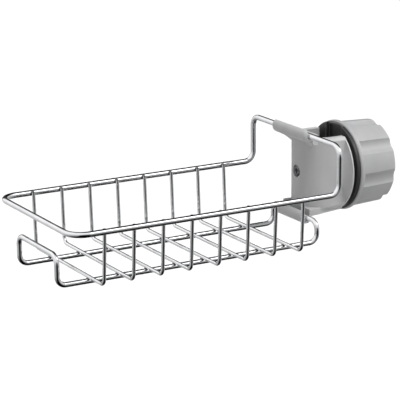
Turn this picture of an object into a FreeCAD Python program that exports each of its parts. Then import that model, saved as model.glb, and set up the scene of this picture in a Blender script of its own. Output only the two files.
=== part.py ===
"""Sponge holder: a wire basket that hangs on a clamp for a round tap spout.

Frame: origin on the spout's axis at the height of the knob's axis, +Z up along the
spout, +X towards the knob, the basket reaching out along -X. Millimetres throughout.
"""
import FreeCAD
import Part

import math
import os

Vec = FreeCAD.Vector
AXIS_X = Vec(1, 0, 0)
AXIS_Y = Vec(0, 1, 0)
AXIS_Z = Vec(0, 0, 1)

# Spout and the fork that straddles it
pipe_d = 23.5
pipe_side_clear = 0.3
pipe_face_clear = 0.05
seat_pad_t = 1.5
seat_pad_half_h = 11.0
arm_t = 3.6
fork_half_h = 13.8
fork_fit = 0.2

# Screw thread between the fork's arms and the knob
thread_pitch = 4.0
thread_depth = 1.0
thread_crest = 0.9
thread_flank = 0.8
thread_root_sink = 0.3
thread_clear = 0.25
thread_grip = 11.8
tighten_travel = 1.3
loosen_travel = 6.5

# Pressure plate and its rubber pad
plate_t = 2.3
plate_inset = 0.5
plate_edge_r = 0.6
plate_gap_min = 1.05
plate_slide_clear = 0.3
plate_reach = 2.4
groove_half_w = 8.6
pilot_t = 1.9
pilot_clear = 0.3
pad_t = 1.0
pad_proud = 0.3
pad_half_w = 6.5
pad_half_h = 10.5
pad_corner_r = 2.5

# Knob
knob_gap = 0.3
hub_wall = 3.0
core_gap = 4.9
grip_wall = 3.4
knob_lip_t = 2.1
knob_lip_bevel = 0.7
knob_lip_proud = 1.2
knob_lip_wall = 2.0
knob_plain_len = 1.6
knob_draft = 1.1
knob_end_wall = 4.4
knob_tip_gap = 1.5
knob_edge_bevel = 1.0
knob_dish_depth = 0.8
knob_dish_rim = 4.5
flute_count = 8
flute_depth = 2.2
flute_share = 0.46
flute_phase = 11.0

# Hook bracket
shell_wall = 2.4
top_plate_t = 8.0
bottom_plate_t = 12.1
shell_edge_r = 2.0
flange_inset = 0.5
flange_t = 0.8
flare_r = 11.0
flare_root_sink = 1.2
pipe_hole_clear = 0.8
hook_clear = 0.2
hook_wall = 2.4
hook_end_r = 2.6
hang_clear = 0.25
top_hook_len = 39.0
bottom_hook_len = 34.0
neck_t = 3.8
neck_setback = 0.4
neck_drop = 5.4
neck_half_w = 10.0
neck_foot = 0.8
neck_shoulder = 1.0
neck_lip = 6.4
neck_flare = 0.36
neck_ramp = 4.5
shelf_h = 4.6
shelf_rise = 1.9
shelf_half_w = 15.4

# Screw that holds the bracket to the fork
screw_d = 3.0
screw_head_d = 6.6
screw_head_h = 1.4
screw_head_clear = 0.7
screw_recess = 0.4
screw_fit = 0.15
screw_point_len = 0.6
screw_point_d = 1.0
screw_tip_gap = 0.4
screw_head_dome = 0.5
screw_drive_w = 0.9
screw_drive_len = 3.4
screw_drive_depth = 0.8

# Wire basket
rim_wire_d = 3.5
base_wire_d = 3.2
cross_wire_d = 2.2
weld_sink = 0.1
rim_len = 178.0
rim_width = 100.0
rim_corner_r = 10.0
riser_bend_r = 6.5
riser_h = 29.4
rim_z = -3.2
basket_shift = 2.0
basket_depth = 33.0
floor_half_w = 45.3
cross_bend_r = 4.0
cross_count = 8
cross_far_gap = 21.2
cross_near_gap = 23.8
cross_end_rise = 0.9
base_half_w = 25.5
base_bend_r = 5.5
base_inset = 1.0
base_far_rise = 18.0
base_near_rise = 12.7

# Lengths below this count as nothing when edges are picked
near_zero = 0.01

# Sizes that follow from the ones above
pipe_r = pipe_d / 2
slot_half = pipe_r + pipe_side_clear
fork_seat_r = pipe_r + seat_pad_t
thread_r = slot_half + arm_t
cavity_half_w = thread_r + fork_fit
cavity_half_h = fork_half_h + fork_fit
shell_r = cavity_half_w + shell_wall
shell_top = cavity_half_h + top_plate_t
shell_bottom = -cavity_half_h - bottom_plate_t
hub_r = thread_r + thread_clear + hub_wall
grip_inner_r = hub_r + core_gap
knob_r = grip_inner_r + grip_wall
lip_r = knob_r + knob_lip_proud
plate_r = lip_r - plate_inset
flange_r = plate_r - flange_inset
pilot_r = lip_r - knob_lip_wall - pilot_clear
pad_face_x = pipe_r + pipe_face_clear
groove_x = pad_face_x + pad_proud
plate_x = pad_face_x - plate_reach
plate_back_x = plate_x + plate_t
pilot_x = plate_back_x + pilot_t
shell_end_x = plate_x - tighten_travel - plate_gap_min
knob_x = plate_back_x + knob_gap
hub_x = pilot_x + knob_gap
fork_tip_x = hub_x + loosen_travel + thread_grip
knob_bore_end_x = fork_tip_x + tighten_travel + knob_tip_gap
knob_end_x = knob_bore_end_x + knob_end_wall
hang_x = -(shell_r + rim_wire_d / 2 + hang_clear)
far_x = hang_x - rim_len
top_bar_z = rim_z + riser_h
cross_floor_z = rim_z - basket_depth
base_z = cross_floor_z - (cross_wire_d + base_wire_d) / 2 + weld_sink
near_bar_z = base_z + base_near_rise
far_bar_z = base_z + base_far_rise
screw_seat_x = -shell_r + screw_recess + screw_head_h
screw_tip_x = -fork_seat_r - screw_tip_gap
cross_pitch = (rim_len - cross_far_gap - cross_near_gap) / (cross_count - 1)


def box(x0, x1, y0, y1, z0, z1):
    return Part.makeBox(x1 - x0, y1 - y0, z1 - z0, Vec(x0, y0, z0))


def rod_x(radius, x0, x1):
    return Part.makeCylinder(radius, x1 - x0, Vec(x0, 0, 0), AXIS_X)


def turned_x(points):
    """Solid of revolution about the X axis; points are (x, radius)."""
    outline = Part.makePolygon([Vec(x, r, 0) for x, r in points + points[:1]])
    return Part.Face(outline).revolve(Vec(0, 0, 0), AXIS_X, 360)


def bent_path(corners, radii):
    """Closed centreline through the corners, each rounded to its own radius."""
    count = len(corners)
    arcs = []
    for i in range(count):
        corner = corners[i]
        back = (corners[i - 1] - corner).normalize()
        ahead = (corners[(i + 1) % count] - corner).normalize()
        half = back.getAngle(ahead) / 2
        reach = radii[i] / math.tan(half)
        bisector = (back + ahead).normalize()
        middle = corner + bisector * (radii[i] / math.sin(half) - radii[i])
        arcs.append((corner + back * reach, middle, corner + ahead * reach))
    edges = []
    start = (arcs[-1][2] + arcs[0][0]) * 0.5
    point = start
    for first, middle, last in arcs:
        edges.append(Part.LineSegment(point, first).toShape())
        edges.append(Part.Arc(first, middle, last).toShape())
        point = last
    edges.append(Part.LineSegment(point, start).toShape())
    return Part.Wire(edges), start, (arcs[0][0] - start).normalize()


def bent_loop(corners, radii, diameter):
    """Round wire bent into a closed loop and butt-welded."""
    path, start, heading = bent_path(corners, radii)
    section = Part.Wire([Part.Circle(start, heading, diameter / 2).toShape()])
    return path.makePipeShell([section], True, False)


def rim_wire():
    """Rim of the basket, stepped up at the near end into the hanging bar."""
    half = rim_width / 2
    left, right = half - basket_shift, -half - basket_shift
    corners = [Vec(far_x, left, rim_z),
               Vec(far_x, right, rim_z),
               Vec(hang_x, right, rim_z),
               Vec(hang_x, right, top_bar_z),
               Vec(hang_x, left, top_bar_z),
               Vec(hang_x, left, rim_z)]
    radii = [rim_corner_r] * 2 + [riser_bend_r] * 4
    return bent_loop(corners, radii, rim_wire_d)


def base_wire():
    """Floor loop under the cross wires, turned up at both ends."""
    left, right = base_half_w - basket_shift, -base_half_w - basket_shift
    end_x = far_x + base_inset
    corners = [Vec(end_x, left, far_bar_z),
               Vec(end_x, right, far_bar_z),
               Vec(end_x, right, base_z),
               Vec(hang_x, right, base_z),
               Vec(hang_x, right, near_bar_z),
               Vec(hang_x, left, near_bar_z),
               Vec(hang_x, left, base_z),
               Vec(end_x, left, base_z)]
    return bent_loop(corners, [base_bend_r] * len(corners), base_wire_d)


def cross_wire(x):
    """U-shaped cross wire, welded inside the rim and on top of the base wire."""
    rim_y = rim_width / 2 - (rim_wire_d + cross_wire_d) / 2 + weld_sink
    lean = (rim_y - floor_half_w) / basket_depth
    end_y = rim_y + lean * cross_end_rise
    slope = Vec(0, lean, 1).normalize()
    wall_angle = math.pi / 2 + math.atan(lean)
    reach = cross_bend_r / math.tan(wall_angle / 2)
    wall_y = floor_half_w + slope.y * reach
    wall_z = cross_floor_z + slope.z * reach
    bisector = (Vec(0, slope.y, slope.z) - AXIS_Y).normalize()
    middle = bisector * (cross_bend_r / math.sin(wall_angle / 2) - cross_bend_r)

    def at(y, z):
        return Vec(x, y - basket_shift, z)

    tip = rim_z + cross_end_rise
    edges = []
    edges.append(Part.LineSegment(at(end_y, tip), at(wall_y, wall_z)).toShape())
    edges.append(Part.Arc(at(wall_y, wall_z),
                          at(floor_half_w + middle.y, cross_floor_z + middle.z),
                          at(floor_half_w - reach, cross_floor_z)).toShape())
    edges.append(Part.LineSegment(at(floor_half_w - reach, cross_floor_z),
                                  at(-floor_half_w + reach, cross_floor_z)).toShape())
    edges.append(Part.Arc(at(-floor_half_w + reach, cross_floor_z),
                          at(-floor_half_w - middle.y, cross_floor_z + middle.z),
                          at(-wall_y, wall_z)).toShape())
    edges.append(Part.LineSegment(at(-wall_y, wall_z), at(-end_y, tip)).toShape())
    section = Part.Circle(at(end_y, tip), slope, cross_wire_d / 2).toShape()
    return Part.Wire(edges).makePipeShell([Part.Wire([section])], True, False)


def u_block(radius, end_x, z0, z1):
    """Upright block: half round about the spout's axis, then straight sides to end_x."""
    round_end = Part.makeCylinder(radius, z1 - z0, Vec(0, 0, z0), AXIS_Z)
    beyond = box(0, 2 * radius, -2 * radius, 2 * radius, z0, z1)
    sides = box(0, end_x, -radius, radius, z0, z1)
    return round_end.cut(beyond).fuse(sides).removeSplitter()


def hook_neck():
    """Web between the shell and the upper hook, flaring out to the hook's length."""
    foot_z = shell_top - neck_drop
    wide = top_hook_len / 2 - neck_shoulder
    shoulder_z = top_bar_z - neck_lip
    bend_w = neck_half_w + (wide - neck_half_w) * neck_flare
    bend_z = shoulder_z - (shoulder_z - foot_z) * neck_flare
    root = foot_z - neck_foot
    x = -shell_r + neck_setback

    def side(sign):
        foot = Part.LineSegment(Vec(x, sign * neck_half_w, root), Vec(x, sign * neck_half_w, foot_z))
        arc = Part.Arc(Vec(x, sign * neck_half_w, foot_z), Vec(x, sign * bend_w, bend_z),
                       Vec(x, sign * wide, shoulder_z))
        lip = Part.LineSegment(Vec(x, sign * wide, shoulder_z), Vec(x, sign * wide, top_bar_z))
        return [foot.toShape(), arc.toShape(), lip.toShape()]

    top = Part.LineSegment(Vec(x, wide, top_bar_z), Vec(x, -wide, top_bar_z)).toShape()
    bottom = Part.LineSegment(Vec(x, -neck_half_w, root), Vec(x, neck_half_w, root)).toShape()
    outline = Part.Wire(Part.sortEdges(side(1) + [top] + side(-1) + [bottom])[0])
    web = Part.Face(outline).extrude(Vec(neck_t, 0, 0))
    ramp = Part.makePolygon([Vec(x, -wide, root),
                             Vec(x + neck_t, -wide, root),
                             Vec(x, -wide, foot_z + neck_ramp),
                             Vec(x, -wide, root)])
    return web.cut(Part.Face(ramp).extrude(Vec(0, 2 * wide, 0)))


def hook_shelf():
    """Floor of the shell, level with the lower hook in front and rising to the flange."""
    x0 = -shell_r + neck_setback
    x1 = shell_end_x - flange_t
    top = near_bar_z + shelf_h
    outline = Part.makePolygon([Vec(x0, -shelf_half_w, near_bar_z),
                                Vec(x1, -shelf_half_w, near_bar_z + shelf_rise),
                                Vec(x1, -shelf_half_w, top),
                                Vec(x0, -shelf_half_w, top),
                                Vec(x0, -shelf_half_w, near_bar_z)])
    return Part.Face(outline).extrude(Vec(0, 2 * shelf_half_w, 0))


def hook_rail(z, length, wire_d):
    """Rounded rail along Y that a wire bar lies in, cut low on the side of the shell."""
    radius = wire_d / 2 + hook_clear + hook_wall
    rail = Part.makeCylinder(radius, length, Vec(hang_x, -length / 2, z), AXIS_Y)
    rims = [e for e in rail.Edges if isinstance(e.Curve, Part.Circle)]
    rail = rail.makeFillet(hook_end_r, rims)
    return rail.cut(box(hang_x, hang_x + radius, -length, length, z, z + radius))


def hook_channel(z, wire_d):
    """Room for the bar in its rail, open at the top."""
    radius = wire_d / 2 + hook_clear
    reach = radius + hook_wall
    floor = Part.makeCylinder(radius, rim_width, Vec(hang_x, -rim_width / 2, z), AXIS_Y)
    mouth = box(hang_x - radius, hang_x + radius, -rim_width / 2, rim_width / 2, z, z + reach)
    return floor.fuse(mouth)


def shell_flare():
    """End of the shell, flaring out in a hollow curve to a round flange, flat on top."""
    root_r = shell_r - flare_root_sink
    edge_x = shell_end_x - flange_t
    turn = math.acos(1 - (flange_r - root_r) / flare_r)
    root_x = edge_x - flare_r * math.sin(turn)
    half = turn / 2
    bend = Vec(root_x + flare_r * math.sin(half), root_r + flare_r * (1 - math.cos(half)), 0)
    edges = [Part.LineSegment(Vec(root_x, 0, 0), Vec(root_x, root_r, 0)).toShape(),
             Part.Arc(Vec(root_x, root_r, 0), bend, Vec(edge_x, flange_r, 0)).toShape(),
             Part.LineSegment(Vec(edge_x, flange_r, 0), Vec(shell_end_x, flange_r, 0)).toShape(),
             Part.LineSegment(Vec(shell_end_x, flange_r, 0), Vec(shell_end_x, 0, 0)).toShape(),
             Part.LineSegment(Vec(shell_end_x, 0, 0), Vec(root_x, 0, 0)).toShape()]
    flare = Part.Face(Part.Wire(edges)).revolve(Vec(0, 0, 0), AXIS_X, 360)
    return flare.common(box(root_x, shell_end_x, -flange_r, flange_r, -flange_r, shell_top))


def shell_block():
    """Outside of the shell: half round in front, flaring to the flange behind."""
    block = u_block(shell_r, shell_end_x, shell_bottom, shell_top)
    brims = []
    for edge in block.Edges:
        level = edge.BoundBox.ZLength < near_zero
        if level and edge.BoundBox.XMin < shell_end_x - near_zero:
            brims.append(edge)
    block = block.makeFillet(shell_edge_r, brims)
    return block.common(rod_x(flange_r, -shell_r, shell_end_x)).fuse(shell_flare())


def hook_bracket():
    """Grey shell round the fork, with a hook above and a hook below for the basket."""
    top_rail = hook_rail(top_bar_z, top_hook_len, rim_wire_d)
    bottom_rail = hook_rail(near_bar_z, bottom_hook_len, base_wire_d)
    shell = shell_block().fuse([hook_neck(), hook_shelf(), top_rail, bottom_rail])
    cavity = u_block(cavity_half_w, shell_end_x, -cavity_half_h, cavity_half_h)
    pipe_way = u_block(pipe_r + pipe_hole_clear, shell_end_x, 2 * shell_bottom, 2 * shell_top)
    screw_hole = rod_x(screw_d / 2 + screw_fit, -shell_r, -cavity_half_w + shell_wall)
    head_hole = rod_x(screw_head_d / 2 + screw_head_clear, -shell_r - hook_wall, screw_seat_x)
    ways = [hook_channel(top_bar_z, rim_wire_d),
            hook_channel(near_bar_z, base_wire_d)]
    return shell.cut([cavity, pipe_way, screw_hole, head_hole] + ways).removeSplitter()


def thread_ridge(root_r, crest_r, crest_w, flank_w, x0, x1):
    """Right-hand helical ridge about the X axis, between two radii."""
    height = x1 - x0
    helix = Part.makeHelix(thread_pitch, height, root_r)
    half_crest = crest_w / 2
    half_root = half_crest + flank_w
    outline = Part.makePolygon([Vec(root_r, 0, -half_root),
                                Vec(crest_r, 0, -half_crest),
                                Vec(crest_r, 0, half_crest),
                                Vec(root_r, 0, half_root),
                                Vec(root_r, 0, -half_root)])
    ridge = Part.Wire(helix.Edges).makePipeShell([outline], True, True)
    ridge.rotate(Vec(0, 0, 0), AXIS_Y, 90)
    ridge.translate(Vec(x0, 0, 0))
    return ridge


def clamp_fork():
    """U-shaped fork that straddles the spout, with a screw thread on its two arms."""
    core_r = thread_r - thread_depth
    span = thread_r + thread_depth
    flat = box(-span, fork_tip_x, -span, span, -fork_half_h, fork_half_h)
    slot = u_block(slot_half, fork_tip_x, -span, span)
    seat = Part.makeCylinder(fork_seat_r, 2 * span, Vec(0, 0, -span), AXIS_Z)
    seat = seat.common(box(-span, 0, -span, span, -span, span))
    pilot = rod_x(screw_d / 2, -span, -fork_seat_r)
    yoke = u_block(thread_r, shell_end_x, -fork_half_h, fork_half_h)
    arms = rod_x(core_r, 0, fork_tip_x)
    body = yoke.fuse(arms).common(flat).cut([slot, seat, pilot])
    ridge = thread_ridge(core_r - thread_root_sink, thread_r, thread_crest, thread_flank,
                         shell_end_x - thread_pitch, fork_tip_x + thread_pitch)
    threaded = rod_x(span, shell_end_x - thread_root_sink, fork_tip_x).common(flat).cut(slot)
    return body.fuse(ridge.common(threaded).Solids).removeSplitter()


def seat_pad():
    """Rubber liner in the fork's half-round seat."""
    length = 2 * seat_pad_half_h
    outer = Part.makeCylinder(fork_seat_r, length, Vec(0, 0, -seat_pad_half_h), AXIS_Z)
    inner = Part.makeCylinder(pipe_r, length, Vec(0, 0, -seat_pad_half_h), AXIS_Z)
    half = box(-fork_seat_r, 0, -fork_seat_r, fork_seat_r, -seat_pad_half_h, seat_pad_half_h)
    return outer.cut(inner).common(half)


def bracket_screw():
    """Self-tapping screw through the bracket's front into the fork."""
    head_x = screw_seat_x - screw_head_h
    radius = screw_head_d / 2
    screw = turned_x([(head_x, 0),
                      (head_x, radius - screw_head_dome),
                      (head_x + screw_head_dome, radius),
                      (screw_seat_x, radius),
                      (screw_seat_x, screw_d / 2),
                      (screw_tip_x - screw_point_len, screw_d / 2),
                      (screw_tip_x, screw_point_d / 2),
                      (screw_tip_x, 0)])
    long, wide = screw_drive_len / 2, screw_drive_w / 2
    deep = head_x + screw_drive_depth
    drive = [box(head_x, deep, -long, long, -wide, wide),
             box(head_x, deep, -wide, wide, -long, long)]
    return screw.cut(drive)


def arm_windows():
    """Section of the two arms with some room round them, through the plate."""
    span = thread_r + plate_slide_clear
    inner = slot_half - plate_slide_clear
    ring = rod_x(span, plate_x, pilot_x)
    middle = box(plate_x, pilot_x, -inner, inner, -span, span)
    return ring.cut(middle)


def pad_block():
    """The rubber pad's own shape, which is also its pocket in the plate."""
    block = box(pad_face_x, pad_face_x + pad_t, -pad_half_w, pad_half_w, -pad_half_h, pad_half_h)
    posts = [e for e in block.Edges if e.BoundBox.XLength > e.BoundBox.YLength + e.BoundBox.ZLength]
    return block.makeFillet(pad_corner_r, posts)


def pressure_plate():
    """Round plate that slides on the fork's arms and bears on the spout through its pad."""
    disc = rod_x(plate_r, plate_x, plate_back_x)
    rims = [e for e in disc.Edges if isinstance(e.Curve, Part.Circle)]
    disc = disc.makeFillet(plate_edge_r, rims)
    disc = disc.fuse(rod_x(pilot_r, plate_back_x - plate_edge_r, pilot_x))
    groove = box(plate_x, groove_x, -groove_half_w, groove_half_w, -plate_r, plate_r)
    return disc.cut([arm_windows(), groove, pad_block()])


def pressure_pad():
    """Rubber pad let into the floor of the plate's groove, between the arms."""
    return pad_block()


def clamp_knob():
    """Large fluted cap nut: a grip outside, a threaded hub inside."""
    bore_r = thread_r + thread_clear
    lip_end_x = knob_x + knob_lip_t
    end_r = knob_r - knob_draft
    body = turned_x([(knob_x, 0),
                     (knob_x, lip_r - knob_lip_bevel),
                     (knob_x + knob_lip_bevel, lip_r),
                     (lip_end_x, lip_r),
                     (lip_end_x, knob_r),
                     (knob_end_x - knob_edge_bevel, end_r),
                     (knob_end_x, end_r - knob_edge_bevel),
                     (knob_end_x, end_r - knob_dish_rim),
                     (knob_end_x - knob_dish_depth, end_r - knob_dish_rim - knob_dish_depth),
                     (knob_end_x - knob_dish_depth, 0)])
    flute_x = lip_end_x + knob_plain_len
    step = 360.0 / flute_count
    half_chord = knob_r * math.sin(math.radians(step * flute_share / 2))
    scoop_r = (half_chord ** 2 + flute_depth ** 2) / (2 * flute_depth)
    scoop_len = knob_end_x - flute_x + scoop_r
    scoop_way = Vec(knob_end_x - lip_end_x, 0, -knob_draft)
    scoops = []
    for i in range(flute_count):
        start = Vec(flute_x, 0, knob_r - flute_depth + scoop_r)
        scoop = Part.makeCylinder(scoop_r, scoop_len, start, scoop_way)
        scoop.rotate(Vec(0, 0, 0), AXIS_X, flute_phase + step * i)
        scoops.append(scoop)
    pilot_way = rod_x(pilot_r + pilot_clear, knob_x, hub_x)
    core = rod_x(grip_inner_r, hub_x, knob_bore_end_x).cut(rod_x(hub_r, hub_x, knob_bore_end_x))
    bore = rod_x(bore_r - thread_depth, hub_x, knob_bore_end_x)
    groove = thread_ridge(thread_r - thread_depth - thread_root_sink - thread_clear,
                          thread_r + thread_clear,
                          thread_crest + 2 * thread_clear, thread_flank,
                          shell_end_x - thread_pitch, fork_tip_x + 2 * thread_pitch)
    groove = groove.common(rod_x(knob_r, hub_x, knob_bore_end_x))
    return body.cut(scoops + [pilot_way, core, bore, groove])


def build():
    nodes = {"rim_wire": rim_wire(),
             "base_wire": base_wire(),
             "hook_bracket": hook_bracket(),
             "clamp_fork": clamp_fork(),
             "seat_pad": seat_pad(),
             "bracket_screw": bracket_screw(),
             "pressure_plate": pressure_plate(),
             "pressure_pad": pressure_pad(),
             "clamp_knob": clamp_knob()}
    for i in range(cross_count):
        nodes["cross_wire_%d" % (i + 1)] = cross_wire(far_x + cross_far_gap + i * cross_pitch)
    return nodes


os.makedirs("parts", exist_ok=True)
for name, shape in build().items():
    shape.exportStep("parts/%s.step" % name)
    print(name, "solids", len(shape.Solids), "valid", shape.isValid(), "volume", round(shape.Volume, 1))
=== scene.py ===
"""Looks of the sponge holder: polished wire basket, grey tap clamp, black pressure plate."""
import math

import bmesh
import bpy
from mathutils import Matrix, Vector, noise


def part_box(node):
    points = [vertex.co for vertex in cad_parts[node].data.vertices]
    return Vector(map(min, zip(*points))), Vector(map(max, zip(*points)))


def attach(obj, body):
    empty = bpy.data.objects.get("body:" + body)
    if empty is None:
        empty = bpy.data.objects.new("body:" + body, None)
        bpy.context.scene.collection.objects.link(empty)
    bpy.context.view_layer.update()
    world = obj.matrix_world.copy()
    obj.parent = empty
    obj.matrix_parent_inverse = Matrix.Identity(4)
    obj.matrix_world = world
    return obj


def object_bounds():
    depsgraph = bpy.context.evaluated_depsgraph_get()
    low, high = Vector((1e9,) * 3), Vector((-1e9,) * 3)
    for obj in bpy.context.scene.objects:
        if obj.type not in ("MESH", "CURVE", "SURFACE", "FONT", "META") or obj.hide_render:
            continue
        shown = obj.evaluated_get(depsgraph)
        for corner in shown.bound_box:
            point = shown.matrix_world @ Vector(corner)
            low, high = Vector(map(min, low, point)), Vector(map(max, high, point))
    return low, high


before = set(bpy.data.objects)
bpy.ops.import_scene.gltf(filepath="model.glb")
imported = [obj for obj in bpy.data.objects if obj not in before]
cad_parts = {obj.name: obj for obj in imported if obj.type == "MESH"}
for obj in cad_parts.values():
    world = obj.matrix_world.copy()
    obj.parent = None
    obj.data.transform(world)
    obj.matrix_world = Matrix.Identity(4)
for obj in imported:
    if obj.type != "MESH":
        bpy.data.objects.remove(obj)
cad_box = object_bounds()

MM = 0.001

# Camera: angles in degrees, lengths in millimetres, set for a picture of 400 by 401
CAMERA_AZIMUTH = -29.53
CAMERA_ELEVATION = 15.07
CAMERA_ROLL = -0.45
CAMERA_DISTANCE = 1253.6
CAMERA_SIDE = -58.99
CAMERA_RISE = -14.73
CAMERA_TARGET = Vector((-20.25, -2.0, -3.2))
FOCAL_PIXELS = 2016.19
PICTURE_WIDTH = 400
SENSOR_WIDTH = 36.0
CLIP_END_M = 50.0

# Stage, in metres; the floor is a darker grey to everything but the camera
FLOOR_DROP = 0.16
FLOOR_HALF = 6.0
FLOOR_SEEN = (0.80, 0.80, 0.80, 1)
FLOOR_BOUNCE = (0.62, 0.62, 0.62, 1)

# Studio surroundings. The room is bright to polished metal, with darker places that draw
# lines in it, and gives a lower even light to matt surfaces. Each dark place is a direction,
# the cosines where it starts and is full, and its brightness there.
ROOM_GLOSS = 1.05
ROOM_SOFT = 0.45
DARK_PLACES = [((-0.15, -0.94, -0.30), 0.76, 0.92, 0.03),
               ((0.55, 0.45, 0.70), 0.78, 0.88, 0.02),
               ((0.42, 0.88, 0.15), 0.83, 0.93, 0.05)]
# The room fades from its full brightness overhead to dark below, sooner in front than behind
FADE_AXIS = (0.0, 0.30, 0.95)
FADE_HEIGHTS = (-0.85, 0.50)
FADE_LEVELS = (0.0, 1.0)

# Soft sky: direction it shines from, strength, and the angle that it spans in degrees
SKY_FROM = (0.20, -0.32, 0.93)
SKY_STRENGTH = 2.9
SKY_SPAN = 50.0

# Lamps: name, place and target in metres, width in metres, power in watts
LAMPS = [("key", (0.80, -0.95, 1.20), (0, 0, 0), 0.7, 3.0)]

# Wires and weld beads in millimetres; a bead's half sizes run along X, Y and Z
RIM_WIRE_R = 1.75
BASE_WIRE_R = 1.6
RIM_BEAD = (1.75, 0.75, 1.35)
BASE_BEAD = (1.75, 1.45, 0.70)
BEAD_WOBBLE = 0.14
BEAD_LUMPS = 1.7

# Tones that each metal and the rubber run between
WIRE_TONES = ((0.80, 0.81, 0.83), (0.90, 0.90, 0.91))
WELD_TONES = ((0.06, 0.056, 0.052), (0.24, 0.232, 0.224))
SCREW_TONES = ((0.09, 0.09, 0.095), (0.32, 0.32, 0.33))
RUBBER_TONES = ((0.016, 0.016, 0.017), (0.045, 0.044, 0.042))

# Moulded plastics by slot: name, darker and lighter tone, painted edge highlight tone, roughness, edge
# radius in mm
PLASTICS = {
    "bracket_plastic": ("bracket_grey", (0.430, 0.431, 0.436), (0.485, 0.486, 0.490), (0.60, 0.60, 0.60),
                        0.40, 0.35),
    "knob_plastic": ("knob_grey", (0.345, 0.346, 0.350), (0.395, 0.396, 0.400), (0.52, 0.52, 0.52),
                     0.38, 0.35),
    "fork_plastic": ("fork_charcoal", (0.085, 0.085, 0.088), (0.115, 0.115, 0.118), (0.17, 0.17, 0.17),
                     0.48, 0.35),
    "plate_plastic": ("plate_black", (0.026, 0.026, 0.027), (0.038, 0.038, 0.039), (0.17, 0.17, 0.17),
                      0.32, 0.5)}

# Specks in moulded plastic, as a share of its darker tone
SPECK_TONE = 0.80

# Cosines between true and rounded normal where the painted edge highlight starts and where it is full
PAINTED_HIGHLIGHT_COSINES = (0.995, 0.90)


def place_camera():
    """Long lens at the height of the tap, looking across the basket from its far corner."""
    az, el = math.radians(CAMERA_AZIMUTH), math.radians(CAMERA_ELEVATION)
    back = Vector((math.sin(az) * math.cos(el), -math.cos(az) * math.cos(el), math.sin(el)))
    right = Vector((math.cos(az), math.sin(az), 0))
    up = back.cross(right)
    roll = math.radians(CAMERA_ROLL)
    side = right * math.cos(roll) + up * math.sin(roll)
    rise = up * math.cos(roll) - right * math.sin(roll)
    place = CAMERA_TARGET + side * CAMERA_SIDE + rise * CAMERA_RISE + back * CAMERA_DISTANCE
    data = bpy.data.cameras.new("camera")
    data.sensor_fit = "HORIZONTAL"
    data.sensor_width = SENSOR_WIDTH
    data.lens = FOCAL_PIXELS * SENSOR_WIDTH / PICTURE_WIDTH
    data.clip_end = CLIP_END_M
    camera = bpy.data.objects.new("camera", data)
    turn = Matrix((side, rise, back)).transposed().to_4x4()
    camera.matrix_world = Matrix.Translation(place * MM) @ turn
    bpy.context.scene.collection.objects.link(camera)
    bpy.context.scene.camera = camera


class Room:
    """Node tree of the surroundings, with the brightness seen along each direction."""

    def __init__(self, tree):
        self.tree = tree
        self.coords = tree.nodes.new("ShaderNodeTexCoord").outputs["Generated"]

    def towards(self, direction):
        """Cosine of the angle to this direction."""
        dot = self.tree.nodes.new("ShaderNodeVectorMath")
        dot.operation = "DOT_PRODUCT"
        dot.inputs[1].default_value = Vector(direction).normalized()
        self.tree.links.new(self.coords, dot.inputs[0])
        return dot.outputs["Value"]

    def ramp(self, source, start, full, low, high, step="SMOOTHSTEP"):
        """The source stepped from low to high."""
        made = self.tree.nodes.new("ShaderNodeMapRange")
        made.interpolation_type = step
        pairs = (("From Min", start), ("From Max", full), ("To Min", low), ("To Max", high))
        for key, value in pairs:
            made.inputs[key].default_value = value
        self.tree.links.new(source, made.inputs["Value"])
        return made.outputs["Result"]

    def times(self, first, second):
        made = self.tree.nodes.new("ShaderNodeMath")
        made.operation = "MULTIPLY"
        self.tree.links.new(first, made.inputs[0])
        self.tree.links.new(second, made.inputs[1])
        return made.outputs["Value"]

    def pattern(self):
        """Bright overhead, fading downwards, and darker in each dark place."""
        level = self.ramp(self.towards(FADE_AXIS), *FADE_HEIGHTS, *FADE_LEVELS, "LINEAR")
        for direction, start, full, dark in DARK_PLACES:
            level = self.times(level, self.ramp(self.towards(direction), start, full, 1, dark))
        return level


def light_room():
    """White to the camera, patterned to polished metal, dim and even to matt surfaces."""
    world = bpy.data.worlds.new("studio")
    bpy.context.scene.world = world
    world.use_nodes = True
    tree = world.node_tree
    path = tree.nodes.new("ShaderNodeLightPath")
    pattern = Room(tree).pattern()
    soft = tree.nodes["Background"]
    gloss = tree.nodes.new("ShaderNodeBackground")
    view = tree.nodes.new("ShaderNodeBackground")
    inner = tree.nodes.new("ShaderNodeMixShader")
    outer = tree.nodes.new("ShaderNodeMixShader")
    soft.inputs["Color"].default_value = (1, 1, 1, 1)
    soft.inputs["Strength"].default_value = ROOM_SOFT
    view.inputs["Color"].default_value = (1, 1, 1, 1)
    gloss.inputs["Strength"].default_value = ROOM_GLOSS
    tree.links.new(pattern, gloss.inputs["Color"])
    tree.links.new(path.outputs["Is Glossy Ray"], inner.inputs["Fac"])
    tree.links.new(soft.outputs["Background"], inner.inputs[1])
    tree.links.new(gloss.outputs["Background"], inner.inputs[2])
    tree.links.new(path.outputs["Is Camera Ray"], outer.inputs["Fac"])
    tree.links.new(inner.outputs["Shader"], outer.inputs[1])
    tree.links.new(view.outputs["Background"], outer.inputs[2])
    tree.links.new(outer.outputs["Shader"], tree.nodes["World Output"].inputs["Surface"])


def aim(lamp, way):
    """Turns a lamp to shine along this direction."""
    lamp.rotation_euler = Vector(way).to_track_quat("-Z", "Y").to_euler()
    bpy.context.scene.collection.objects.link(lamp)


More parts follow.
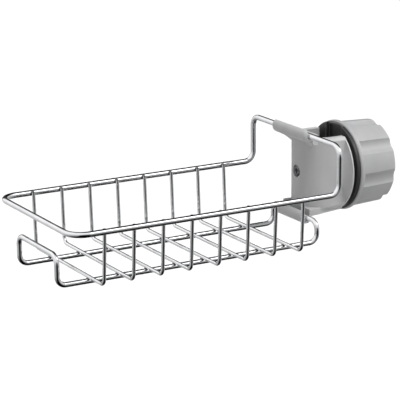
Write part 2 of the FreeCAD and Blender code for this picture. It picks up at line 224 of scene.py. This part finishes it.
def light_studio():
    """Broad soft light from above, a little from the front, and one weak large lamp."""
    light_room()
    data = bpy.data.lights.new("sky", "SUN")
    data.energy = SKY_STRENGTH
    data.angle = math.radians(SKY_SPAN)
    sky = bpy.data.objects.new("sky", data)
    sky.visible_glossy = False
    aim(sky, -Vector(SKY_FROM))
    for name, place, target, width, power in LAMPS:
        data = bpy.data.lights.new(name, "AREA")
        data.shape = "DISK"
        data.size = width
        data.energy = power
        lamp = bpy.data.objects.new(name, data)
        lamp.location = place
        aim(lamp, Vector(target) - Vector(place))


class Shader:
    """One material's node tree, with short calls to add and join nodes."""

    def __init__(self, name):
        self.material = bpy.data.materials.new(name)
        self.material.use_nodes = True
        self.tree = self.material.node_tree
        self.shader = self.tree.nodes["Principled BSDF"]
        self.coords = self.node("TexCoord").outputs["Object"]

    def node(self, kind, **settings):
        made = self.tree.nodes.new("ShaderNode" + kind)
        for key, value in settings.items():
            setattr(made, key, value)
        return made

    def join(self, source, target):
        self.tree.links.new(source, target)

    def put(self, **values):
        for key, value in values.items():
            self.shader.inputs[key.replace("_", " ")].default_value = value

    def grain(self, size_mm, detail=3.0, stretch=None):
        """Noise with features of about this size, drawn out along one axis if asked."""
        source = self.coords
        if stretch:
            mapping = self.node("Mapping")
            mapping.inputs["Scale"].default_value = stretch
            self.join(source, mapping.inputs["Vector"])
            source = mapping.outputs["Vector"]
        made = self.node("TexNoise")
        made.inputs["Scale"].default_value = 1 / (size_mm * MM)
        made.inputs["Detail"].default_value = detail
        self.join(source, made.inputs["Vector"])
        return made.outputs["Fac"]

    def spread(self, source, low, high, start=0.3, end=0.7):
        """The noise stretched to run from low to high."""
        ramp = self.node("MapRange")
        for key, value in (("From Min", start), ("From Max", end), ("To Min", low), ("To Max", high)):
            ramp.inputs[key].default_value = value
        self.join(source, ramp.inputs["Value"])
        return ramp.outputs["Result"]

    def between(self, factor, first, second):
        """Colour that runs from the first to the second with the factor."""
        mix = self.node("Mix", data_type="RGBA")
        self.join(factor, mix.inputs["Factor"])
        for socket, value in (("A", first), ("B", second)):
            target = [s for s in mix.inputs if s.name == socket and s.type == "RGBA"][0]
            if isinstance(value, tuple):
                target.default_value = value + (1,)
            else:
                self.join(value, target)
        return [s for s in mix.outputs if s.type == "RGBA"][0]

    def colour(self, source):
        self.join(source, self.shader.inputs["Base Color"])

    def rough(self, source):
        self.join(source, self.shader.inputs["Roughness"])

    def edges(self, width_mm, patch):
        """Mask of the edges within this width, broken up by the patch."""
        rounded = self.node("Bevel", samples=8)
        rounded.inputs["Radius"].default_value = width_mm * MM
        surface = self.node("NewGeometry")
        dot = self.node("VectorMath", operation="DOT_PRODUCT")
        self.join(rounded.outputs["Normal"], dot.inputs[0])
        self.join(surface.outputs["Normal"], dot.inputs[1])
        both = self.node("Math", operation="MULTIPLY")
        self.join(self.spread(dot.outputs["Value"], 0, 1, *PAINTED_HIGHLIGHT_COSINES), both.inputs[0])
        self.join(patch, both.inputs[1])
        return both.outputs["Value"]

    def relief(self, layers, edge_mm=0.0):
        """Bumps stacked on the surface, over edges softened by a small radius."""
        normal = None
        if edge_mm:
            edge = self.node("Bevel", samples=6)
            edge.inputs["Radius"].default_value = edge_mm * MM
            normal = edge.outputs["Normal"]
        for source, depth_mm in layers:
            bump = self.node("Bump")
            bump.inputs["Distance"].default_value = depth_mm * MM
            self.join(source, bump.inputs["Height"])
            if normal:
                self.join(normal, bump.inputs["Normal"])
            normal = bump.outputs["Normal"]
        self.join(normal, self.shader.inputs["Normal"])


def polished_wire():
    """Bright plated wire: faint waviness from bending, fine polishing lines, slight haze."""
    look = Shader("polished_wire")
    look.put(Metallic=1.0, Specular_IOR_Level=0.5)
    haze = look.grain(9.0)
    look.colour(look.between(look.spread(haze, 0, 1), *WIRE_TONES))
    look.rough(look.spread(look.grain(2.5), 0.05, 0.12))
    look.relief([(look.grain(0.35, 2.0), 0.0006)])
    return look.material


def weld_metal():
    """Plated weld bead: duller than the wire and a little browned by the heat."""
    look = Shader("weld_metal")
    look.put(Metallic=1.0)
    tint = look.spread(look.grain(0.8), 0, 1)
    look.colour(look.between(tint, *WELD_TONES))
    look.rough(look.spread(look.grain(0.5), 0.25, 0.45))
    look.relief([(look.grain(0.4), 0.05)])
    return look.material


def moulded_plastic(name, dark, light, painted_highlight_tone, rough, edge_mm):
    """Satin moulded plastic: slow flow mottle, fine specks, and edges painted paler in patches as a
    highlight.
    """
    look = Shader(name)
    look.put(IOR=1.49)
    flow = look.spread(look.grain(14.0, 4.0, (1.0, 1.0, 0.45)), 0, 1)
    body = look.between(flow, dark, light)
    speck = look.spread(look.grain(0.45, 2.0), 0, 0.35, 0.62, 0.74)
    body = look.between(speck, body, tuple(c * SPECK_TONE for c in dark))
    # Painted highlight: edges are mixed towards a paler tone, as if they caught the light
    painted_highlight_mask = look.edges(2 * edge_mm, look.spread(look.grain(4.0, 4.0), 0.55, 1.0))
    look.colour(look.between(painted_highlight_mask, body, painted_highlight_tone))
    look.rough(look.spread(look.grain(3.0, 5.0), rough - 0.06, rough + 0.08))
    look.relief([(look.grain(0.30, 2.0), 0.006), (look.grain(7.0, 2.0), 0.03)], edge_mm)
    return look.material


def soft_rubber():
    """Matt rubber with a fine pebbled face and paler dust in patches."""
    look = Shader("soft_rubber")
    look.put(IOR=1.5, Specular_IOR_Level=0.25)
    dust = look.spread(look.grain(5.0, 4.0), 0, 1, 0.45, 0.75)
    look.colour(look.between(dust, *RUBBER_TONES))
    look.rough(look.spread(look.grain(1.2), 0.72, 0.92))
    look.relief([(look.grain(0.5, 2.0), 0.05)], 0.2)
    return look.material


def plated_screw():
    """Dark plated screw steel, brushed, worn brighter in spots."""
    look = Shader("plated_screw")
    look.put(Metallic=1.0)
    wear = look.spread(look.grain(1.1, 4.0), 0, 1, 0.45, 0.7)
    look.colour(look.between(wear, *SCREW_TONES))
    look.rough(look.spread(look.grain(0.4, 3.0, (1.0, 6.0, 1.0)), 0.24, 0.42))
    look.relief([(look.grain(0.25, 2.0, (1.0, 6.0, 1.0)), 0.008)], 0.15)
    return look.material


def pale_floor():
    """Plain pale sweep under the part."""
    look = Shader("pale_floor")
    look.put(Base_Color=FLOOR_SEEN, Specular_IOR_Level=0.0)
    look.rough(look.spread(look.grain(40.0), 0.85, 0.95))
    bounce = look.node("BsdfDiffuse")
    bounce.inputs["Color"].default_value = FLOOR_BOUNCE
    path = look.node("LightPath")
    either = look.node("MixShader")
    look.join(path.outputs["Is Camera Ray"], either.inputs["Fac"])
    look.join(bounce.outputs["BSDF"], either.inputs[1])
    look.join(look.shader.outputs["BSDF"], either.inputs[2])
    look.join(either.outputs["Shader"], look.tree.nodes["Material Output"].inputs["Surface"])
    return look.material


def dress(slot, material):
    """Gives the material to every CAD node that has this slot."""
    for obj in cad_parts.values():
        for entry in obj.material_slots:
            if entry.material and entry.material.name.split(".")[0] == slot:
                entry.material = material


def add_bead(mesh, centre, sizes):
    """One squeezed-out weld bead, a lumpy flattened ball."""
    made = bmesh.ops.create_icosphere(mesh, subdivisions=3, radius=1.0)
    for vert in made["verts"]:
        swell = 1 + BEAD_WOBBLE * noise.noise(vert.co * BEAD_LUMPS + centre / MM)
        vert.co = centre + Vector([c * s * swell * MM for c, s in zip(vert.co, sizes)])


def weld_beads(material):
    """Beads where each cross wire meets the rim, inside it, and the base wire, on top of it."""
    rim_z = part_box("rim_wire")[0][2] + RIM_WIRE_R * MM
    base_low, base_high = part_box("base_wire")
    base_y = {-1: base_low[1] + BASE_WIRE_R * MM, 1: base_high[1] - BASE_WIRE_R * MM}
    mesh = bmesh.new()
    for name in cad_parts:
        if name.startswith("cross_wire"):
            low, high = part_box(name)
            x = (low[0] + high[0]) / 2
            for side, rim_y in ((-1, low[1]), (1, high[1])):
                add_bead(mesh, Vector((x, rim_y, rim_z)), RIM_BEAD)
                add_bead(mesh, Vector((x, base_y[side], low[2])), BASE_BEAD)
    data = bpy.data.meshes.new("weld_beads")
    mesh.to_mesh(data)
    mesh.free()
    data.shade_smooth()
    data.materials.append(material)
    beads = bpy.data.objects.new("weld_beads", data)
    bpy.context.scene.collection.objects.link(beads)
    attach(beads, "basket")


def lay_floor():
    """Wide pale floor, out of sight of polished metal, that takes the part's shadow."""
    low = Vector(cad_box[0])
    level = low.z - FLOOR_DROP
    mesh = bmesh.new()
    corners = [mesh.verts.new((x, y, level)) for x, y in
               ((-FLOOR_HALF, -FLOOR_HALF), (FLOOR_HALF, -FLOOR_HALF),
                (FLOOR_HALF, FLOOR_HALF), (-FLOOR_HALF, FLOOR_HALF))]
    mesh.faces.new(corners)
    data = bpy.data.meshes.new("floor")
    mesh.to_mesh(data)
    mesh.free()
    data.materials.append(pale_floor())
    floor = bpy.data.objects.new("floor", data)
    floor.visible_glossy = False
    bpy.context.scene.collection.objects.link(floor)


place_camera()
light_studio()
lay_floor()
dress("wire_steel", polished_wire())
for plastic_slot, recipe in PLASTICS.items():
    dress(plastic_slot, moulded_plastic(*recipe))
dress("pad_rubber", soft_rubber())
dress("screw_steel", plated_screw())
weld_beads(weld_metal())
bpy.context.scene.view_settings.view_transform = "Standard"
